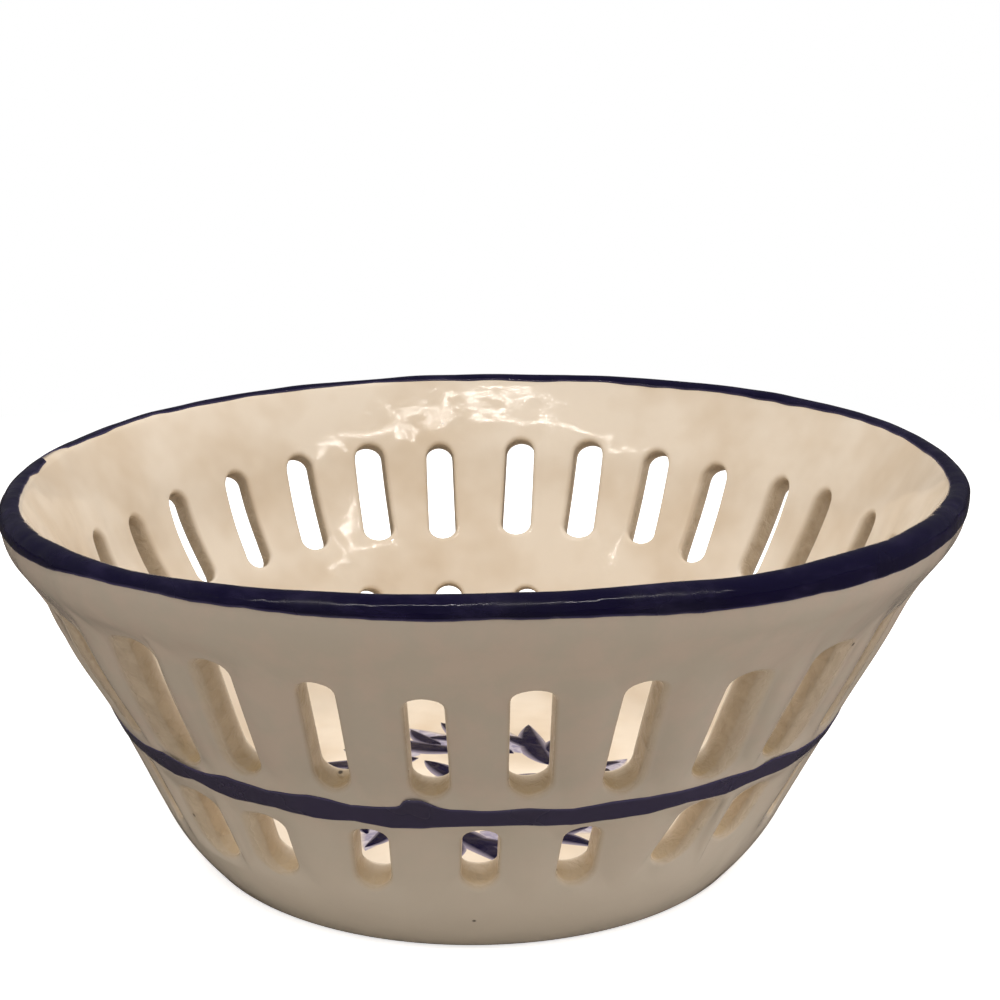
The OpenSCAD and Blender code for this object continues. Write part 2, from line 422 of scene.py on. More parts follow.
print("pierced body")
slots = {
    "width": 7.9,
    "softAcross": 1.0,  # the outer edge is sponged round by this much
    "softDeep": 1.5,
    "innerSoft": 1.2,
    "pillow": 0.85,  # each rib stands proud of its slots by this much
    "pillowEnds": (0.4, 0.15),  # its least share, above and below a slot
    "innerPillow": 0.25,
    "pillowFall": (3, 1.5),  # how its rise fades towards the slot, as a power and a slope
    "cutPower": 1.3,  # how the clay begins to show through round the outer edge
    "cutInside": 0.7,  # and how much of it shows on the inner edge
    "cutOutside": 0.6,  # how much the middle of a cut face counts as outside
    "scrapeStart": 0.05,  # a wide bevel shows the clay from this far in,
    "scrapeStain": 0.5,  # and over more of its width by this much for each mm
    "lipTurn": 0.62,  # the outside's painted shade ends on the lip, on a line that leans in by this much
    "seed": 7,
    # slots that "hand" leaves out: how far their first five numbers stray, and their last two
    "stray": (0.5, 0.5, 0.6, 0.05, 0.4),
    "plain": (1.0, 0.5),
    "outerBlends": (1.0, 0.82, 0.65, 0.49, 0.34, 0.2, 0.08),  # lines between rib and slot
    "innerBlends": (0.08, 0.2, 0.36, 0.6, 1.0),
    "edgeSteps": 5,
    "weld": 0.02,
}
rows = {
    "upper": {
        "low": 44.6, "high": 72.4, "cellLow": 42.1, "cellHigh": 81.0, "arcSteps": 12, "sideSteps": 18,
        "start": -142.2,
        "shifts": [-0.36, -0.15, -0.25, -0.23, -0.24, -0.25, -0.26, -0.19, -0.13, 0.02, 0.03, 0.05, 0.06, 0.15,
                   0.0, 0.16, 0.09, 0.093, 0.06, 0.176, 0.16, 0.184, 0.19, 0.24, 0.23, 0.17, 0.04, -0.09, -0.25],
        # slot: (rise, stretch, lean in degrees, widening, skew of the inner end, rise of the inner sill,
        #        extra bevel, on the side of its sign)
        "hand": {
            0: (0.3, 0.5, -1.25, 0, 0, 0.5, -5.0), 1: (0.8, 3.0, 0.9, 0.05, 0, 0.5, -6.5),
            2: (1.8, 1.0, 0.5, 0, 1.4, 0.5, -1.5), 3: (0.6, -0.2, 0.4, -0.05, 0, 0.3, 0),
            4: (-0.9, -1.6, 0, 0, 0, 0.2, 0), 5: (0.1, -0.8, -0.4, 0.1, 0, 0.3, 0),
            6: (-0.3, -0.4, 0, 0, 0, 0.3, 1.1), 7: (-1.6, -1.1, 0.3, 0, -1.4, 0.5, 3.6),
            8: (-1.2, -0.6, 0.8, 0.05, 0, 0.5, 6.0), 9: (-0.5, 0, 0.5, 0.05, 0, 0.5, 5.0),
            12: (0.4, 0, 0, -0.1, 0, 1.5, 0), 13: (-0.1, 0, 0, -0.12, 1.6, 2.0, 0),
            14: (-0.4, -0.4, 0, -0.12, 1.4, 2.3, 0), 15: (-0.8, -0.4, 0, 0, 0, 2.4, 0),
            16: (0.7, -0.6, 0, 0, 0, 2.9, 0), 17: (1.4, -0.3, 0, 0.1, 0, 2.0, 0),
            18: (1.3, -0.4, 0, 0.06, 0, 1.8, 0), 19: (0.1, -0.3, 0, 0, 0, 2.0, 0),
            20: (1.0, 0, 0, 0.1, 0, 1.9, 0), 21: (0.35, -0.1, 0, 0, 0, 2.0, 0),
            22: (-1.0, -0.1, 0, -0.05, 0, 1.6, 0), 23: (-1.7, -0.5, 0, -0.12, 0, 2.5, 0),
            24: (-2.9, -1.0, 0, -0.12, -1.5, 1.5, 0), 25: (-1.6, -0.6, 0, -0.12, 0, 1.5, 0),
            26: (-2.6, -1.0, 0, -0.1, 0, 1.5, 0), 28: (0.3, 0, -0.5, 0.05, 0, 0.5, -4.0),
        },
    },
    "lower": {
        "low": 17.5, "high": 34.6, "cellLow": 13.4, "cellHigh": 38.9, "arcSteps": 12, "sideSteps": 8,
        "start": -153.0,
        "shifts": [0.16, 0.17, 0.02, 0.06, 0.08, 0.01, 0.08, -0.18, -0.02, 0.03, -0.01, -0.05, -0.08, -0.12,
                   -0.15, -0.19, -0.15, -0.11, -0.06, -0.02, 0.03, 0.07, 0.12],
        "hand": {
            1: (-1.6, 0.5, 0.2, 0.05, 0, 0.8, -6.0), 2: (-0.8, -0.1, 0.4, 0, 0, 1.0, -3.8),
            3: (0.4, 0.2, 0.6, -0.05, 0, 1.4, -0.5), 4: (1.9, -0.1, 0.1, -0.05, 0, 1.5, 0),
            5: (1.2, -0.1, -0.1, 0, 0, 1.4, 0.3), 6: (2.6, -0.3, 1.5, 0, 0, 1.0, 2.6),
            7: (2.8, -1.5, 0.9, 0, 0, 0.8, 3.2),
        },
    },
}


def lipStrip(along):
    # From the top of a cell up the outer side, over the lip and down to the cell's inner top.
    lines = bowl["lines"]
    up = [onWall(a) for a in np.linspace(along, travel[-1], lines["up"])]
    over = arc(lipCentre, lipRadius, 0, math.degrees(lipEnd), lines["over"])
    down = [onWall(a, depthAt(a)) for a in np.linspace(travel[-1], along, lines["down"])]
    return up + over[1:] + down


def footStrip(along):
    # From the bottom of a cell down to the foot, then the underside as far as its middle.
    return [onWall(a) for a in np.linspace(along, travel[0], bowl["lines"]["foot"])] + bowl["underside"]


def floorStrip(along):
    # From the inner bottom of a cell down the wall, round the cove and over the floor.
    centre = (bowl["flatRadius"], bowl["floorTop"] + bowl["cove"])
    cove = arc(centre, bowl["cove"], -bowl["wallLean"], -90, bowl["lines"]["cove"])
    return [onWall(along, depthAt(along))] + cove + [(r, bowl["floorTop"]) for r in bowl["floorLines"]]


def makeSector(row):
    # One slot with its share of the wall. x is the radius, y runs across and z is the height.
    low, high, cellLow, cellHigh = (alongAt(row[k]) for k in ("low", "high", "cellLow", "cellHigh"))
    half, wall, arcSteps, sideSteps = slots["width"] / 2, bowl["wall"], row["arcSteps"], row["sideSteps"]
    middle, reachUp = (low + high) / 2, (high - low) / 2
    rim, cell = [], []
    for side, start, end, cellStart, cellEnd in ((1.0, low + half, high - half, cellLow, cellHigh),
                                                 (-1.0, high - half, low + half, cellHigh, cellLow)):
        for i in range(sideSteps):
            s = i / sideSteps
            rim.append((start + s * (end - start), side * half, 0.0, side))
            cell.append((cellStart + s * (cellEnd - cellStart), side))
        for i in range(arcSteps):
            a = math.pi * (i / arcSteps + (side < 0))
            rim.append((end + half * math.sin(a), half * math.cos(a), math.sin(a), math.cos(a)))
            cell.append((cellEnd, side * (1 - 2 * i / arcSteps)))
    count = len(rim)
    places, marks, faces = [], [], []

    def add(r, z, across, reach, share, tilt=0.0, dent=0.0, flare=0.0, cut=0.0, pool=0.0, outside=0.0):
        places.append((r * mm, across * mm, z * mm))
        marks.append((reach, share, tilt, dent, flare * mm, cut, pool, outside))
        return len(places) - 1

    def ringOf(spread, depth, blend, cut, outside):
        # dent runs from 0 on the outer face to 1 on the inner one.
        ring = []
        power, slope = slots["pillowFall"]
        dent = min(1.0, depth / wall)
        for (a, y, na, ny), (ca, share) in zip(rim, cell):
            along = (a + na * spread) * (1 - blend) + ca * blend
            lower = (1 - blend) ** power * (1 + slope * blend) * max(abs(ny), slots["pillowEnds"][na <= 0])
            dip = slots["pillow"] * lower * (1 - dent)
            if not outside:
                dip = depthAt(along) - wall - slots["innerPillow"] * lower * dent
            r, z = onWall(along, depth + dip)
            # The pool mark is the cut on a sill that faces up, for its pooled glaze and painted shade.
            ring.append(add(r, z, y + ny * spread, blend, share, (a - middle) / reachUp, dent,
                            ny * spread * (dent < 0.5), cut, cut * max(0.0, -na), outside))
        return ring

    soft, deep, inner, steps = (slots[k] for k in ("softAcross", "softDeep", "innerSoft", "edgeSteps"))
    quarter = [math.pi / 2 * k / steps for k in range(steps + 1)]
    rings = [ringOf(soft, 0.0, blend, 0.0, 1.0) for blend in slots["outerBlends"]]
    rings += [ringOf(soft * (1 - math.sin(a)), deep * (1 - math.cos(a)), 0.0, (k / steps) ** slots["cutPower"], 1.0)
              for k, a in enumerate(quarter)]
    rings.append(ringOf(0.0, (deep + wall - inner) / 2, 0.0, 1.0, slots["cutOutside"]))
    rings += [ringOf(inner * (1 - math.cos(a)), wall - inner + inner * math.sin(a), 0.0,
                     slots["cutInside"] * (1 - k / steps) ** 2, 0.0) for k, a in enumerate(quarter)]
    rings += [ringOf(inner, wall, blend, 0.0, 0.0) for blend in slots["innerBlends"]]
    for first, second in zip(rings, rings[1:]):
        for i in range(count):
            j = (i + 1) % count
            faces.append((first[i], first[j], second[j], second[i]))
    sides = rings[0], rings[-1]
    topOut, topIn = ([ring[sideSteps + i] for i in range(arcSteps + 1)] for ring in sides)
    low = 2 * sideSteps + arcSteps
    lowOut, lowIn = ([ring[(low + i) % count] for i in range(arcSteps, -1, -1)] for ring in sides)

    def strip(start, path, outside, end=None):
        # Lines of faces from the cell's edge along a path, as far as the end line if there is one.
        lines = [start]
        for r, z in path[1:len(path) - 1 if end else None]:
            lines.append([add(r, z, 0.0, 1.0, 1 - 2 * i / arcSteps, outside=outside(r, z))
                          for i in range(arcSteps + 1)])
        if end:
            lines.append(end)
        for first, second in zip(lines, lines[1:]):
            for i in range(arcSteps):
                faces.append((first[i], first[i + 1], second[i + 1], second[i]))

    gap = 1.0  # half of what is left open at the waist, to be sewn up
    if row is rows["upper"]:
        strip(topOut, lipStrip(cellHigh),
              lambda r, z: float(r > lipCentre[0] - slots["lipTurn"] * max(0.0, lipCentre[1] - z)), topIn)
        strip(lowOut, [onWall(a) for a in (cellLow, gap)], lambda r, z: 1.0)
        strip(lowIn, [onWall(a, wall) for a in (cellLow, gap)], lambda r, z: 0.0)
    else:
        stops = (cellHigh, (cellHigh - gap) / 2, -gap)
        strip(topOut, [onWall(a) for a in stops], lambda r, z: 1.0)
        strip(topIn, [onWall(a, wall) for a in stops], lambda r, z: 0.0)
        strip(lowOut, footStrip(cellLow), lambda r, z: 1.0)
        strip(lowIn, floorStrip(cellLow), lambda r, z: 0.0)
    marks = dict(zip(("reach", "share", "tilt", "dent", "flare", "cut", "pool", "outside"), zip(*marks)))
    return addObject("slotSector", newMesh("slotSector", places, faces, marks, closed=False))


def makeCentres(row, seed):
    # One point for each slot, with the angles of its middle and of its two ribs.
    rng = np.random.default_rng(seed)
    shifts = row["shifts"]
    pitch = 360 / len(shifts)
    middles = np.radians(row["start"] + pitch * (np.arange(len(shifts)) + np.array(shifts)))
    after = np.append(middles[1:], middles[0] + 2 * math.pi)
    before = np.append(middles[-1] - 2 * math.pi, middles[:-1])
    hand = np.array([row["hand"].get(i, (*(rng.uniform(-1, 1, 5) * slots["stray"]), *slots["plain"]))
                     for i in range(len(shifts))]).T
    # A rib is shared out at the middle of what the bevels leave of it.
    girth = onWall((alongAt(row["low"]) + alongAt(row["high"])) / 2)[0]
    right, left = np.maximum(hand[6], 0) / 2 / girth, np.maximum(-hand[6], 0) / 2 / girth
    return addObject("slotCentres", newMesh("slotCentres", [(0, 0, 0)] * len(shifts), marks={
        "middle": middles,
        "toRight": (after - middles) / 2 + right - np.roll(left, -1),
        "toLeft": (middles - before) / 2 + left - np.roll(right, 1),
        "rise": hand[0] * mm,
        "stretch": hand[1] * mm,
        "lean": np.radians(hand[2]),
        "widen": 1 + hand[3],
        "skew": hand[4] * mm,
        "sill": hand[5] * mm,
        "bevel": hand[6],
    }, closed=False))


def newTree(name, *sockets):
    tree = bpy.data.node_groups.new(name, "GeometryNodeTree")
    for label, kind, value in (("Geometry", "Geometry", None), *sockets):
        socket = tree.interface.new_socket(label, in_out="INPUT", socket_type="NodeSocket" + kind)
        if value is not None:
            socket.default_value = value
    tree.interface.new_socket("Geometry", in_out="OUTPUT", socket_type="NodeSocketGeometry")
    return tree


def slotRowTree():
    # Sets the sector at every centre, then bends each copy round the wall between its two ribs.
    tree = newTree("slotRow", ("Sector", "Object", None), ("Weld", "Float", slots["weld"] * mm),
                   ("Material", "Material", None))
    given = addNode(tree, "NodeGroupInput")
    sector = addNode(tree, "GeometryNodeObjectInfo", {"Object": given.outputs["Sector"]})
    copies = addNode(tree, "GeometryNodeInstanceOnPoints", {
        "Points": given, "Instance": sector.outputs["Geometry"]})
    real = addNode(tree, "GeometryNodeRealizeInstances", [copies])
    place = addNode(tree, "ShaderNodeSeparateXYZ", [addNode(tree, "GeometryNodeInputPosition")])
    v = dict(zip("xyz", place.outputs))
    for name in ("reach", "share", "tilt", "dent", "middle", "toRight", "toLeft", "rise", "stretch", "lean",
                 "widen", "skew", "sill", "bevel", "flare", "cut"):
        v[name] = addNode(tree, "GeometryNodeInputNamedAttribute", {"Name": name}, data_type="FLOAT")
    # Each row is one sum: the name of its result, the operation, and its terms.
    for name, operation, *terms in (
            ("near", "SUBTRACT", 1.0, "reach"),
            ("wide", "MULTIPLY", "y", "widen"), ("wide", "MULTIPLY_ADD", "skew", "dent", "wide"),
            ("hand", "SIGN", "bevel"), ("flare", "MULTIPLY", "flare", "hand"), ("flare", "MAXIMUM", "flare", 0.0),
            ("wide", "MULTIPLY_ADD", "bevel", "flare", "wide"),
            # the clay shows over more of a wide bevel
            ("stain", "MULTIPLY", "flare", perMetre(slots["scrapeStart"])), ("bevel", "ABSOLUTE", "bevel"),
            ("stain", "MINIMUM", "stain", "bevel"), ("stain", "MULTIPLY_ADD", "stain", slots["scrapeStain"], 1.0),
            ("stain", "DIVIDE", 1.0, "stain"), ("stain", "POWER", "cut", "stain"),
            # the angle: near the slot by its own shape, and towards the ribs by their places
            ("turn", "DIVIDE", "wide", "x"), ("turn", "MULTIPLY_ADD", "lean", "tilt", "turn"),
            ("angle", "MULTIPLY_ADD", "near", "turn", "middle"),
            ("isRight", "GREATER_THAN", "share", 0.0), ("span", "SUBTRACT", "toRight", "toLeft"),
            ("span", "MULTIPLY_ADD", "isRight", "span", "toLeft"), ("span", "MULTIPLY", "span", "share"),
            ("span", "MULTIPLY", "span", "reach"), ("angle", "ADD", "angle", "span"),
            # the height: by the slot's rise, its stretch and the rise of its inner sill
            ("under", "MULTIPLY", "tilt", -1.0), ("under", "MAXIMUM", "under", 0.0),
            ("under", "MULTIPLY", "under", "dent"), ("lift", "MULTIPLY_ADD", "stretch", "tilt", "rise"),
            ("lift", "MULTIPLY_ADD", "sill", "under", "lift"), ("lift", "MULTIPLY", "lift", "near"),
            ("radius", "MULTIPLY_ADD", "lift", math.tan(math.radians(bowl["wallLean"])), "x"),
            ("X", "COSINE", "angle"), ("X", "MULTIPLY", "radius", "X"),
            ("Y", "SINE", "angle"), ("Y", "MULTIPLY", "radius", "Y"),
            ("Z", "ADD", "z", "lift")):
        v[name] = addNode(tree, "ShaderNodeMath", [v.get(term, term) for term in terms], operation=operation)
    stained = addNode(tree, "GeometryNodeStoreNamedAttribute", {
        "Geometry": real, "Name": "cut", "Value": v["stain"]}, data_type="FLOAT", domain="POINT")
    moved = addNode(tree, "ShaderNodeCombineXYZ", [v[axis] for axis in "XYZ"])
    bent = addNode(tree, "GeometryNodeSetPosition", {"Geometry": stained, "Position": moved})
    weld = addNode(tree, "GeometryNodeMergeByDistance", {"Geometry": bent, "Distance": given.outputs["Weld"]})
    closed = addNode(tree, "GeometryNodeRealizeInstances", [weld])
    finish = addNode(tree, "GeometryNodeSetMaterial", {"Geometry": closed, "Material": given.outputs["Material"]})
    addNode(tree, "NodeGroupOutput", {"Geometry": finish})
    return tree


def bake(piece, tree, **inputs):
    # Runs the tree on the piece, keeps the result as its mesh, and takes the modifier off again.
    modifier = piece.modifiers.new("nodes", "NODES")
    modifier.node_group = tree
    identifiers = {item.name: item.identifier for item in tree.interface.items_tree if item.in_out == "INPUT"}
    for name, value in inputs.items():
        modifier[identifiers[name]] = value
    piece.update_tag()
    bpy.context.view_layer.update()
    graph = bpy.context.evaluated_depsgraph_get()
    final = piece.evaluated_get(graph)
    mesh = bpy.data.meshes.new_from_object(final, preserve_all_data_layers=True, depsgraph=graph)
    old = piece.data
    piece.modifiers.remove(modifier)
    piece.data = mesh
    bpy.data.meshes.remove(old)


def angleOf(v):
    return math.atan2(v.co.y, v.co.x)


def sew(bm, a, b):
    # Joins two rings that have different counts with triangles, in step with the angle.
    anglesA, anglesB = ([angleOf(v) for v in ring] + [angleOf(ring[0]) + 2 * math.pi] for ring in (a, b))
    i = j = 0
    while i < len(a) or j < len(b):
        here, there = a[i % len(a)], b[j % len(b)]
        if j >= len(b) or (i < len(a) and anglesA[i + 1] <= anglesB[j + 1]):
            bm.faces.new((here, a[(i + 1) % len(a)], there))
            i += 1
        else:
            bm.faces.new((here, b[(j + 1) % len(b)], there))
            j += 1


def openRings(bm):
    # The vertices on open edges, as rings by radius and height, in order of their angle.
    rings = {}
    for v in bm.verts:
        if v.is_boundary:
            rings.setdefault((round(v.co.xy.length, 4), round(v.co.z, 4)), []).append(v)
    return [sorted(ring, key=angleOf) for place, ring in sorted(rings.items())]


def finishMesh(piece, bm, keep):
    # Puts the closed mesh on the piece, with one material and the marks that its glaze reads.
    bmesh.ops.recalc_face_normals(bm, faces=bm.faces)
    for face in bm.faces:
        face.material_index = 0
    bm.to_mesh(piece.data)
    bm.free()
    material = next(m for m in piece.data.materials if m)
    piece.data.materials.clear()
    piece.data.materials.append(material)
    marks = piece.data.attributes
    for name in [a.name for a in marks if a.domain == "POINT" and a.data_type == "FLOAT" and a.name not in keep]:
        marks.remove(marks[name])
    piece.data.shade_smooth()


def makeBody():
    tree = slotRowTree()
    parts = []
    for name, row in rows.items():
        sector = makeSector(row)
        centres = makeCentres(row, slots["seed"] + len(name) + len(parts))
        bake(centres, tree, Sector=sector, Material=creamFinish)
        parts.append(centres)
        bpy.data.objects.remove(sector)
    bm = bmesh.new()
    for part in parts:
        bm.from_mesh(part.data)
    under, floor, innerLow, innerHigh, outerFootLight, outerHigh = openRings(bm)
    sew(bm, innerHigh, innerLow)
    sew(bm, outerHigh, outerFootLight)
    for ring in (under, floor):
        centre = bm.verts.new((0, 0, ring[0].co.z))
        for v, w in zip(ring, ring[1:] + ring[:1]):
            bm.faces.new((v, w, centre))
    body = parts[0]
    body.name = "pierced_body"
    finishMesh(body, bm, ("cut", "pool", "outside"))
    bpy.data.objects.remove(parts[1])
    return body


body = makeBody()
print("body faces", len(body.data.polygons))

print("fired shape")
fired = {
    "height": 94.0,
    "riseCos": (2.1, -0.86, 0.0),  # the rim's warp, as waves round the bowl
    "riseSin": (0.05, 0.2, 0.39),
    "spreadCos": (2.12, -0.16, 0.82),
    "spreadSin": (-0.26, -0.25, 0.16),
    "midCos": (-1.0, 0.24, 0.0),  # the waist line was turned on before the rim warped
    "midSin": (0.45, 0.0, 0.0),
    "midSpan": 18.0,
    "bulge": 1.0,  # the wall bellies out above the waist line, most at the back
    "bulgeCos": (-0.4, 0.7),
    "bulgeSin": (0.7, 0.0),
    "bulgeHeight": 62.0,
    "bulgeSpan": 13.0,
    "settle": -0.4,
    "warpPower": 1.5,  # how fast the warp grows with height, and the scallops at the brim
    "brimPower": 7.0,
    "undulation": 0.4,
    "lumps": 0.1,  # thicker and thinner glaze
    "scallop": 0.75,
    "grip": (3.0, 22.0),  # heights between which the foot lets go of the wall
    # size and seed of each unevenness, and of the brim's scallops, which are measured on a ring of this radius
    "noises": {"undulation": (34.0, 5.0), "lumps": (10.0, 6.0)},
    "scallops": {"upDown": (26.0, 3.0), "inOut": (26.0, 9.0)},
    "ring": 100.0,
}


def firedTree():
    # The bowl's own warp. Every piece goes through it, so paint and clay stay together.
    tree = newTree("firedShape", *((name.capitalize(), "Float", fired[name] * mm)
                                   for name in ("undulation", "lumps", "scallop")))
    given = addNode(tree, "NodeGroupInput")
    place = addNode(tree, "GeometryNodeInputPosition")
    v = {**dict(zip("xyz", addNode(tree, "ShaderNodeSeparateXYZ", [place]).outputs)),
         **{name: given.outputs[name] for name in ("Undulation", "Lumps", "Scallop")}}
    v["grip"] = addNode(tree, "ShaderNodeMapRange", [v["z"], *(z * mm for z in fired["grip"])],
                        interpolation_type="SMOOTHSTEP")
    flat = addNode(tree, "ShaderNodeCombineXYZ", [v["x"], v["y"]])
    around = addNode(tree, "ShaderNodeVectorMath", [flat], operation="NORMALIZE")
    onRing = addNode(tree, "ShaderNodeVectorMath", {0: around, "Scale": fired["ring"] * mm}, operation="SCALE")
    for vector, noises in ((place, fired["noises"]), (onRing, fired["scallops"])):
        for name, (size, seed) in noises.items():
            v[name] = addNode(tree, "ShaderNodeTexNoise", {
                "Vector": vector, "W": seed, "Scale": perMetre(size), "Detail": 1.5}, noise_dimensions="4D")
    # Each row is one sum: the name of its result, the operation, and its terms.
    rows = [("angle", "ARCTAN2", "y", "x"), ("cos", "COSINE", "angle"), ("sin", "SINE", "angle"),
            ("up", "DIVIDE", "z", fired["height"] * mm), ("up", "MAXIMUM", "up", 0.0),
            ("upper", "POWER", "up", fired["warpPower"]), ("brim", "POWER", "up", fired["brimPower"])]
    for name in ("rise", "spread", "mid", "bulge"):
        total = 0.0
        for k, (c, s) in enumerate(zip(fired[name + "Cos"], fired[name + "Sin"]), 1):
            rows += [("turned", "MULTIPLY", "angle", float(k)),
                     ("wave", "COSINE", "turned"), (name, "MULTIPLY_ADD", "wave", c * mm, total),
                     ("wave", "SINE", "turned"), (name, "MULTIPLY_ADD", "wave", s * mm, name)]
            total = name
    for name, height, span in (("midBell", bowl["waist"], fired["midSpan"]),
                               ("bulgeBell", fired["bulgeHeight"], fired["bulgeSpan"])):
        rows += [(name, "SUBTRACT", "z", height * mm), (name, "DIVIDE", name, span * mm),
                 (name, "MULTIPLY", name, name), (name, "MULTIPLY", name, -1.0), (name, "EXPONENT", name)]
    rows += [(name, "MULTIPLY_ADD", name, 2.0, -1.0) for name in (*fired["noises"], *fired["scallops"])]
    rows += [("rise", "ADD", "rise", fired["settle"] * mm),
             ("rise", "MULTIPLY", "rise", "upper"),
             ("rise", "MULTIPLY_ADD", "mid", "midBell", "rise"),
             ("spread", "MULTIPLY", "spread", "upper"),
             ("bulge", "ADD", "bulge", fired["bulge"] * mm),
             ("spread", "MULTIPLY_ADD", "bulge", "bulgeBell", "spread"),
             ("scallop", "MULTIPLY", "Scallop", "brim"),
             ("rise", "MULTIPLY_ADD", "upDown", "scallop", "rise"),
             ("spread", "MULTIPLY_ADD", "inOut", "scallop", "spread")]
    for name in ("Undulation", "Lumps"):
        rows += [("reach", "MULTIPLY", name, "grip"), ("spread", "MULTIPLY_ADD", name.lower(), "reach", "spread")]
    rows += [("X", "MULTIPLY", "spread", "cos"), ("Y", "MULTIPLY", "spread", "sin")]
    for name, operation, *terms in rows:
        v[name] = addNode(tree, "ShaderNodeMath", [v.get(term, term) for term in terms], operation=operation)
    offset = addNode(tree, "ShaderNodeCombineXYZ", [v["X"], v["Y"], v["rise"]])
    moved = addNode(tree, "GeometryNodeSetPosition", {"Geometry": given, "Offset": offset})
    addNode(tree, "NodeGroupOutput", {"Geometry": moved})
    return tree


firing = firedTree()
bake(body, firing)
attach(body, "root")
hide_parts("pierced_wall", "base_dish")


def addPiece(name, mesh, material, slotName, *nodes):
    piece = addObject(name, mesh)
    mesh.materials.append(material)
    bake(piece, firing)
    piece.data.shade_smooth()
    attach(piece, "root")
    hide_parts(*nodes)
    return piece


print("foot ring")
foot = {"inner": 60.3, "outer": 67.8, "height": 1.1, "round": 0.4, "rest": 2.5, "columns": 240}


def turned(columns, lineAt):
    # Points and faces of a closed section that goes round the axis. lineAt gives it for each angle.
    places = []
    for i in range(columns):
        angle = 2 * math.pi * i / columns
        places += [(r * mm * math.cos(angle), r * mm * math.sin(angle), z * mm) for r, z in lineAt(angle)]
    count = len(places) // columns
    faces = [(i * count + j, (i + 1) % columns * count + j, (i + 1) % columns * count + (j + 1) % count,
              i * count + (j + 1) % count) for i in range(columns) for j in range(count)]
    return places, faces


def makeFoot():
    inner, outer, top, edge, rest = (foot[k] for k in ("inner", "outer", "height", "round", "rest"))
    section = (arc((inner + edge, edge), edge, 180, 270, 4) + [(inner + rest, 0), (outer - rest, 0)]
               + arc((outer - edge, edge), edge, -90, 0, 4)
               + [(outer, top), ((inner + outer) / 2, top), (inner, top)])
    mesh = newMesh("bare_foot", *turned(foot["columns"], lambda angle: section))
    return addPiece("bare_foot", mesh, clayFinish, "bare_clay", "foot_ring")


makeFoot()

print("painted bands")
brushed = {
    "columns": 720,
    "thick": 0.3,
    "sink": 0.08,  # the colour is drawn into the glaze by this much
    "feather": 0.7,
    "edge": 0.55,  # width of the paler edge
    "rimLow": -2.2,  # along the outer side, from where the lip's round begins
    "rimEnd": (122.0, 128.0),  # where the band ends on the round of the lip, at the near and the far side
    # the brush by hand, as (angle, how much higher the band's outer edge lies)
    "rimRaise": ((-170, 1.0), (-141, 1.2), (-135, 2.6), (-126, 3.0), (-122, 3.1), (-118, 2.1), (-112, 2.1),
                 (-106, 1.3), (-100, 1.3), (-96, 0.9), (-88, 1.4), (-78, 1.0), (-72, 0.0), (-62, 0.1), (-50, -0.7),
                 (-44, -1.2), (-38, -0.8), (-29, 0.0), (60, 0.3), (140, 0.4)),
    # (angle, how much further its inner edge reaches)
    "rimReach": ((-160, 0.0), (10, 0.6), (30, 1.0), (90, 1.0), (105, 0.2), (150, -0.3), (165, -0.4), (168, -2.8),
                 (171, -3.2), (173, -0.4), (178, 0.6), (181, -0.3)),
    # (angle, lower edge, upper edge) of the waist line
    "waist": ((-144, -3.4, 1.2), (-138, -4.2, 2.8), (-133, -2.6, 1.8), (-129, -3.6, 1.8), (-125, -4.2, 2.9),
              (-122, -3.5, 2.8), (-118, -3.1, 2.1), (-112, -3.9, 3.2), (-109, -3.4, 3.0), (-106, -2.9, 2.0),
              (-101, -4.0, 2.5), (-99.6, -3.9, 2.9), (-98.8, -3.8, 4.9), (-96.6, -3.4, 4.9), (-95.4, -3.0, 3.9),
              (-94.3, -2.8, 3.0), (-93, -2.6, 2.6), (-89, -2.3, 2.4), (-83, -2.5, 2.7), (-77, -3.5, 1.8),
              (-72, -3.0, 2.4), (-66, -3.1, 2.4), (-60, -2.2, 2.3), (-53, -3.2, 2.6), (-49, -2.4, 2.3),
              (-45, -2.4, 3.4), (-39, -3.1, 1.9), (-32, -2.6, 1.4), (60, -2.6, 2.2), (140, -2.9, 2.5)),
    # the wander of each edge, as waves of (seed, size, reach) on a ring of this radius, this far apart
    "ring": 100,
    "apart": 7.3,
    "rimOuterWaves": ((1, 34, 0.4), (2, 9, 0.4), (3, 3, 0.15)),
    "rimInnerWaves": ((4, 22, 0.5), (5, 6, 0.3)),
    "waistLowWaves": ((7, 6, 0.25),),
    "waistHighWaves": ((9, 6, 0.25),),
    # and of the thickness: its share of "thick", then the waves
    "rimCoat": (1.0, (10, 18, 0.5)),
    "waistCoat": (0.6, (11, 14, 0.4)),
}


def wander(angle, waves):
    # A smooth wander round the bowl that meets itself.
    around = Vector((math.cos(angle), math.sin(angle), 0)) * brushed["ring"]
    return sum(reach * noise.noise(around / size + Vector((0, 0, seed * brushed["apart"])))
               for seed, size, reach in waves)


def tableAt(rows, angle, column=1):
    return float(np.interp(math.degrees(angle), [r[0] for r in rows], [r[column] for r in rows], period=360))


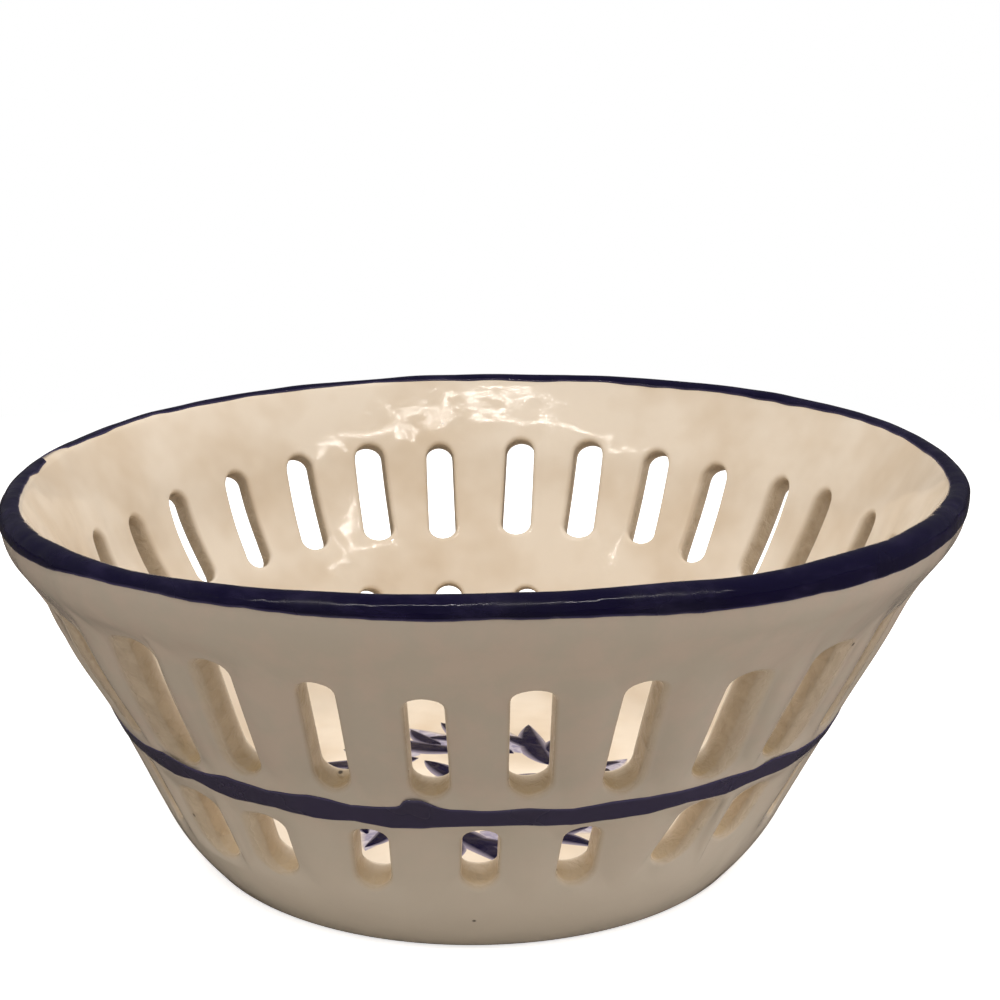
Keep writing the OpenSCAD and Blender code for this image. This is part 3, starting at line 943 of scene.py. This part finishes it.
def addBand(name, pathOf, edgesOf, lines, coat, watered, node):
    # A brushed band: its face bulges from the glaze between two wandering edges, and its back lies in it.
    share, *waves = brushed[coat]
    marks = []

    def lineAt(angle):
        low, high = edgesOf(angle)
        thick = brushed["thick"] * (share + wander(angle, waves))
        face, back = [], []
        for j in range(lines + 1):
            v = low + (high - low) * (1 - math.cos(math.pi * j / lines)) / 2
            inside = min(v - low, high - v)
            proud = thick * math.sqrt(max(0.0, 1 - max(0.0, 1 - inside / brushed["feather"]) ** 2))
            r, z, nr, nz = pathOf(v)
            face.append((r + nr * proud, z + nz * proud))
            marks.append(max(0.0, 1 - inside / brushed["edge"]))
            if 0 < j < lines:
                back.append((r - nr * brushed["sink"], z - nz * brushed["sink"]))
        marks.extend([0.0] * len(back))
        return face + back[::-1]

    places, faces = turned(brushed["columns"], lineAt)
    mesh = newMesh(name, places, faces, {"edge": marks, "watered": [watered] * len(marks)})
    return addPiece(name, mesh, blueFinish, "blue_glaze", node)


def wallPath(v):
    # Radius, height and outward direction of a place on the outer wall.
    (r, z), (r2, z2) = onWall(v), onWall(v, 1.0)
    return r, z, r - r2, z - z2


def rimPath(v):
    # The same from where the lip's round begins, over the lip and down its straight inner side.
    if v <= 0:
        return wallPath(travel[-1] + v)
    a = min(v / lipRadius, lipEnd)
    beyond = v - a * lipRadius
    return (lipCentre[0] + lipRadius * math.cos(a) - beyond * math.sin(a),
            lipCentre[1] + lipRadius * math.sin(a) + beyond * math.cos(a), math.cos(a), math.sin(a))


def rimEdges(angle):
    low = brushed["rimLow"] + tableAt(brushed["rimRaise"], angle)
    near, far = brushed["rimEnd"]
    end = math.radians(near + (far - near) * (1 + math.sin(angle)) / 2) * lipRadius
    end += tableAt(brushed["rimReach"], angle)
    return low + wander(angle, brushed["rimOuterWaves"]), end + wander(angle, brushed["rimInnerWaves"])


def waistEdges(angle):
    return (tableAt(brushed["waist"], angle, 1) + wander(angle, brushed["waistLowWaves"]),
            tableAt(brushed["waist"], angle, 2) + wander(angle, brushed["waistHighWaves"]))


addBand("rim_paint", rimPath, rimEdges, 26, "rimCoat", 0.0, "rim_band")
addBand("waist_paint", wallPath, waistEdges, 10, "waistCoat", 0.8, "waist_line")

print("floor painting")
painting = {
    "leaves": 12, "place": 34.7, "turn": 35.0, "proud": 0.28, "sunk": 0.25, "seed": 11,
    # each leaf as one long stroke and shorter ones at its sides: (length, width, bend, turn, x, y)
    "strokes": ((28.0, 8.0, 1.8, 0, -1.0, 0.0), (16.0, 5.6, -1.4, 34, 1.0, 5.8), (14.0, 5.2, 1.4, -32, -2.5, -5.2)),
    "washLength": 23.0, "washWidth": 9.0, "washBend": 1.2, "washProud": 0.12,
    "petals": 7, "petalPlace": 13.4, "petalLength": 17.5, "petalWidth": 7.4, "petalTurn": 22.0, "eye": 3.6,
    "belly": 0.8,  # below 1, the widest part of a stroke lies nearer to its start
    "blunt": 0.75,  # below 1, its ends are rounder
    "tip": 0.02,  # its least width, as a share
    "sway": 0.12,  # how far a stroke turns out of line by hand, in radians
    "sizes": (0.88, 1.08),
}


def strokeMesh(name, length, width, bend, thick=painting["proud"], lines=18, across=8):
    # One press of a loaded brush: a pointed start, a full belly and a rounded lift at the end.
    places, marks = [], []
    for i in range(lines + 1):
        t = i / lines
        wide = width / 2 * max(painting["tip"], math.sin(math.pi * t ** painting["belly"]) ** painting["blunt"])
        middle = bend * (t * (1 - t)) * 4
        for j in range(across + 1):
            s = -1 + 2 * j / across
            proud = thick * (1 - s * s) ** 0.5 * min(1, 6 * t * (1 - t) + 0.15)
            places.append(((t - 0.5) * length * mm, (middle + s * wide) * mm, (bowl["floorTop"] + proud) * mm))
            marks.append(max(0.0, abs(s) * 2.5 - 1.5))
    top = len(places)
    places += [(x, y, (bowl["floorTop"] - painting["sunk"]) * mm) for x, y, z in places]
    row = across + 1
    faces = [(i * row + j, (i + 1) * row + j, (i + 1) * row + j + 1, i * row + j + 1)
             for i in range(lines) for j in range(across)]
    faces += [tuple(top + k for k in face[::-1]) for face in faces]
    border = [*range(row), *(i * row + across for i in range(1, lines + 1)),
              *(lines * row + j for j in range(across - 1, -1, -1)), *(i * row for i in range(lines - 1, 0, -1))]
    faces += [(a, b, top + b, top + a) for a, b in zip(border, border[1:] + border[:1])]
    return newMesh(name, places, faces, {"edge": marks + [0.0] * top})


def wreathTree():
    # Sets one stroke at every point of a circle, each turned and sized a little by hand.
    tree = newTree("wreath", ("Count", "Int", 12), ("Place", "Float", 0.03), ("Turn", "Float", 0.6),
                   ("Offset", "Float", 0.0), ("Stroke", "Object", None), ("Seed", "Int", 1),
                   ("Material", "Material", None))
    given = addNode(tree, "NodeGroupInput").outputs
    circle = addNode(tree, "GeometryNodeMeshCircle", {"Vertices": given["Count"], "Radius": given["Place"]})
    points = addNode(tree, "GeometryNodeMeshToPoints", {"Mesh": circle})
    stroke = addNode(tree, "GeometryNodeObjectInfo", {"Object": given["Stroke"]})
    pitch = addNode(tree, "ShaderNodeMath", [2 * math.pi, given["Count"]], operation="DIVIDE")
    sway, size = (
        addNode(tree, "FunctionNodeRandomValue", {2: least, 3: most, "Seed": given["Seed"]}, data_type="FLOAT")
        for least, most in ((-painting["sway"], painting["sway"]), painting["sizes"]))
    index = addNode(tree, "GeometryNodeInputIndex")
    angle = addNode(tree, "ShaderNodeMath", [index, pitch, given["Turn"]], operation="MULTIPLY_ADD")
    swayed = addNode(tree, "ShaderNodeMath", [angle, sway], operation="ADD")
    copies = addNode(tree, "GeometryNodeInstanceOnPoints", {
        "Points": points, "Instance": stroke.outputs["Geometry"],
        "Rotation": addNode(tree, "ShaderNodeCombineXYZ", {"Z": swayed}),
        "Scale": addNode(tree, "ShaderNodeCombineXYZ", [size, size, 1.0])})
    real = addNode(tree, "GeometryNodeRealizeInstances", [copies])
    around = addNode(tree, "ShaderNodeCombineXYZ", {"Z": given["Offset"]})
    placed = addNode(tree, "GeometryNodeTransform", {"Geometry": real, "Rotation": around})
    finish = addNode(tree, "GeometryNodeSetMaterial", {"Geometry": placed, "Material": given["Material"]})
    addNode(tree, "NodeGroupOutput", {"Geometry": finish})
    return tree


wreath = wreathTree()


def ringOfStrokes(mesh, count, place, turn, offset, seed):
    # The finished mesh of one ring of strokes.
    stroke = addObject("stroke", mesh)
    holder = addObject("holder", bpy.data.meshes.new("holder"))
    bake(holder, wreath, Count=count, Place=place * mm, Turn=math.radians(turn), Offset=math.radians(offset),
         Stroke=stroke, Seed=seed, Material=blueFinish)
    result = holder.data
    bpy.data.objects.remove(holder)
    bpy.data.objects.remove(stroke)
    result.materials.clear()
    return result


def joined(name, meshes):
    bm = bmesh.new()
    for mesh in meshes:
        bm.from_mesh(mesh)
    whole = bpy.data.meshes.new(name)
    bm.to_mesh(whole)
    bm.free()
    return whole


def leafMesh():
    meshes = []
    for length, width, bend, turn, x, y in painting["strokes"]:
        mesh = strokeMesh("leafStroke", length, width, bend)
        mesh.transform(Matrix.Translation((x * mm, y * mm, 0)) @ Matrix.Rotation(math.radians(turn), 4, "Z"))
        meshes.append(mesh)
    return joined("leaf", meshes)


count, place, turn, seed = (painting[k] for k in ("leaves", "place", "turn", "seed"))
leaves = ringOfStrokes(leafMesh(), count, place, turn, 0, seed)
addPiece("leaf_strokes", leaves, floorFinish, "blue_glaze", "floor_leaves")
dilute = strokeMesh("washStroke", *(painting["wash" + k] for k in ("Length", "Width", "Bend", "Proud")))
washes = ringOfStrokes(dilute, count, place, turn, 360 / count / 2, seed + 1)
addPiece("wash_strokes", washes, washFinish, "lilac_wash", "floor_washes")
petal = strokeMesh("petal", painting["petalLength"], painting["petalWidth"], 0.0)
petals = ringOfStrokes(petal, painting["petals"], painting["petalPlace"], 0, painting["petalTurn"], seed + 2)
dab = strokeMesh("eye", painting["eye"] * 2, painting["eye"] * 2, 0.0)
addPiece("rosette_strokes", joined("rosette_strokes", [petals, dab]), floorFinish, "blue_glaze", "floor_rosette")

print("stage")
studio = {
    "floorSeen": "#ffffff",
    "floorBounce": "#f2efea",
    "floorMirrored": "#3f3d3b",
    "floorReach": 6.0,  # metres, as are the places and sizes of the lights
    "grain": 2.5,
    "gloss": (0.85, 0.95),
    "lift": 0.6,  # brightens what the camera sees of the floor, and lights nothing
    "clear": (0.30, 0.55),  # metres from the bowl over which the floor turns plain white
    "overhead": {"place": (-0.05, 0.05, 1.1), "size": (2.6, 2.6), "power": 31.0, "colour": "#fffaf6",
                 "mirrored": False},
    "window": {"place": (0.0, -0.74, 1.08), "size": (2.5, 0.006), "power": 3.7, "colour": "#fffaf4"},
    "side": {"place": (1.15, 0.15, 0.1), "size": (0.6, 0.3), "power": 6.5, "colour": "#fdfbff", "mirrored": False},
    "aim": (0.0, 0.0, 0.05),
    "ambient": ("#faf8f8", 0.2),
    "mirrored": 0.09,  # what the glaze mirrors of the room
}


def floorMaterial():
    # White to the camera, with the bowl's own shadow, and a plain pale board to everything else.
    material, tree, place = newMaterial("studioFloor")
    grain = addNode(tree, "ShaderNodeTexNoise", {
        "Vector": place, "Scale": perMetre(studio["grain"]), "Detail": 2.0})
    rough = addNode(tree, "ShaderNodeMapRange", [grain, 0.0, 1.0, *studio["gloss"]])
    seen = addNode(tree, "ShaderNodeBsdfDiffuse", [studio["floorSeen"], rough])
    white, lifted = (addNode(tree, "ShaderNodeEmission", ["#ffffff", power]) for power in (1.0, studio["lift"]))
    away = addNode(tree, "ShaderNodeVectorMath", [place], operation="LENGTH")
    clear = addNode(tree, "ShaderNodeMapRange", [away, *studio["clear"]])
    shaded = addNode(tree, "ShaderNodeAddShader", [seen, lifted])
    near = addNode(tree, "ShaderNodeMixShader", [clear, shaded, white])
    ray = addNode(tree, "ShaderNodeLightPath").outputs
    bounce, dim = (
        addNode(tree, "ShaderNodeBsdfDiffuse", [studio[name]]) for name in ("floorBounce", "floorMirrored"))
    unseen = addNode(tree, "ShaderNodeMixShader", [ray["Is Glossy Ray"], bounce, dim])
    shader = addNode(tree, "ShaderNodeMixShader", [ray["Is Camera Ray"], unseen, near])
    return finishMaterial(material, shader)


def makeFloor():
    reach = studio["floorReach"]
    corners = [(-reach, -reach, 0), (reach, -reach, 0), (reach, reach, 0), (-reach, reach, 0)]
    mesh = newMesh("studioFloor", corners, [(0, 1, 2, 3)], closed=False)
    mesh.materials.append(floorMaterial())
    addObject("studioFloor", mesh)


def makeLight(name):
    spec = studio[name]
    data = bpy.data.lights.new(name, "AREA")
    data.shape = "RECTANGLE"
    data.size, data.size_y = spec["size"]
    data.energy = spec["power"]
    data.color = linear(spec["colour"])[:3]
    light = addObject(name, data)
    light.location = spec["place"]
    light.visible_glossy = spec.get("mirrored", True)
    light.rotation_euler = (Vector(studio["aim"]) - light.location).to_track_quat("-Z", "Y").to_euler()


makeFloor()
for name in ("overhead", "window", "side"):
    makeLight(name)

world = bpy.data.worlds.new("studioWorld")
world.use_nodes = True
bpy.context.scene.world = world
sky = world.node_tree
sky.nodes.clear()
ray = addNode(sky, "ShaderNodeLightPath").outputs
hue, power = studio["ambient"]
soft, dim, white = (
    addNode(sky, "ShaderNodeBackground", row)
    for row in ((hue, power), (hue, studio["mirrored"]), ("#ffffff", 1.0)))
room = addNode(sky, "ShaderNodeMixShader", [ray["Is Glossy Ray"], soft, dim])
both = addNode(sky, "ShaderNodeMixShader", [ray["Is Camera Ray"], room, white])
addNode(sky, "ShaderNodeOutputWorld", {"Surface": both})
bpy.context.scene.view_settings.view_transform = "Standard"

print("finish")
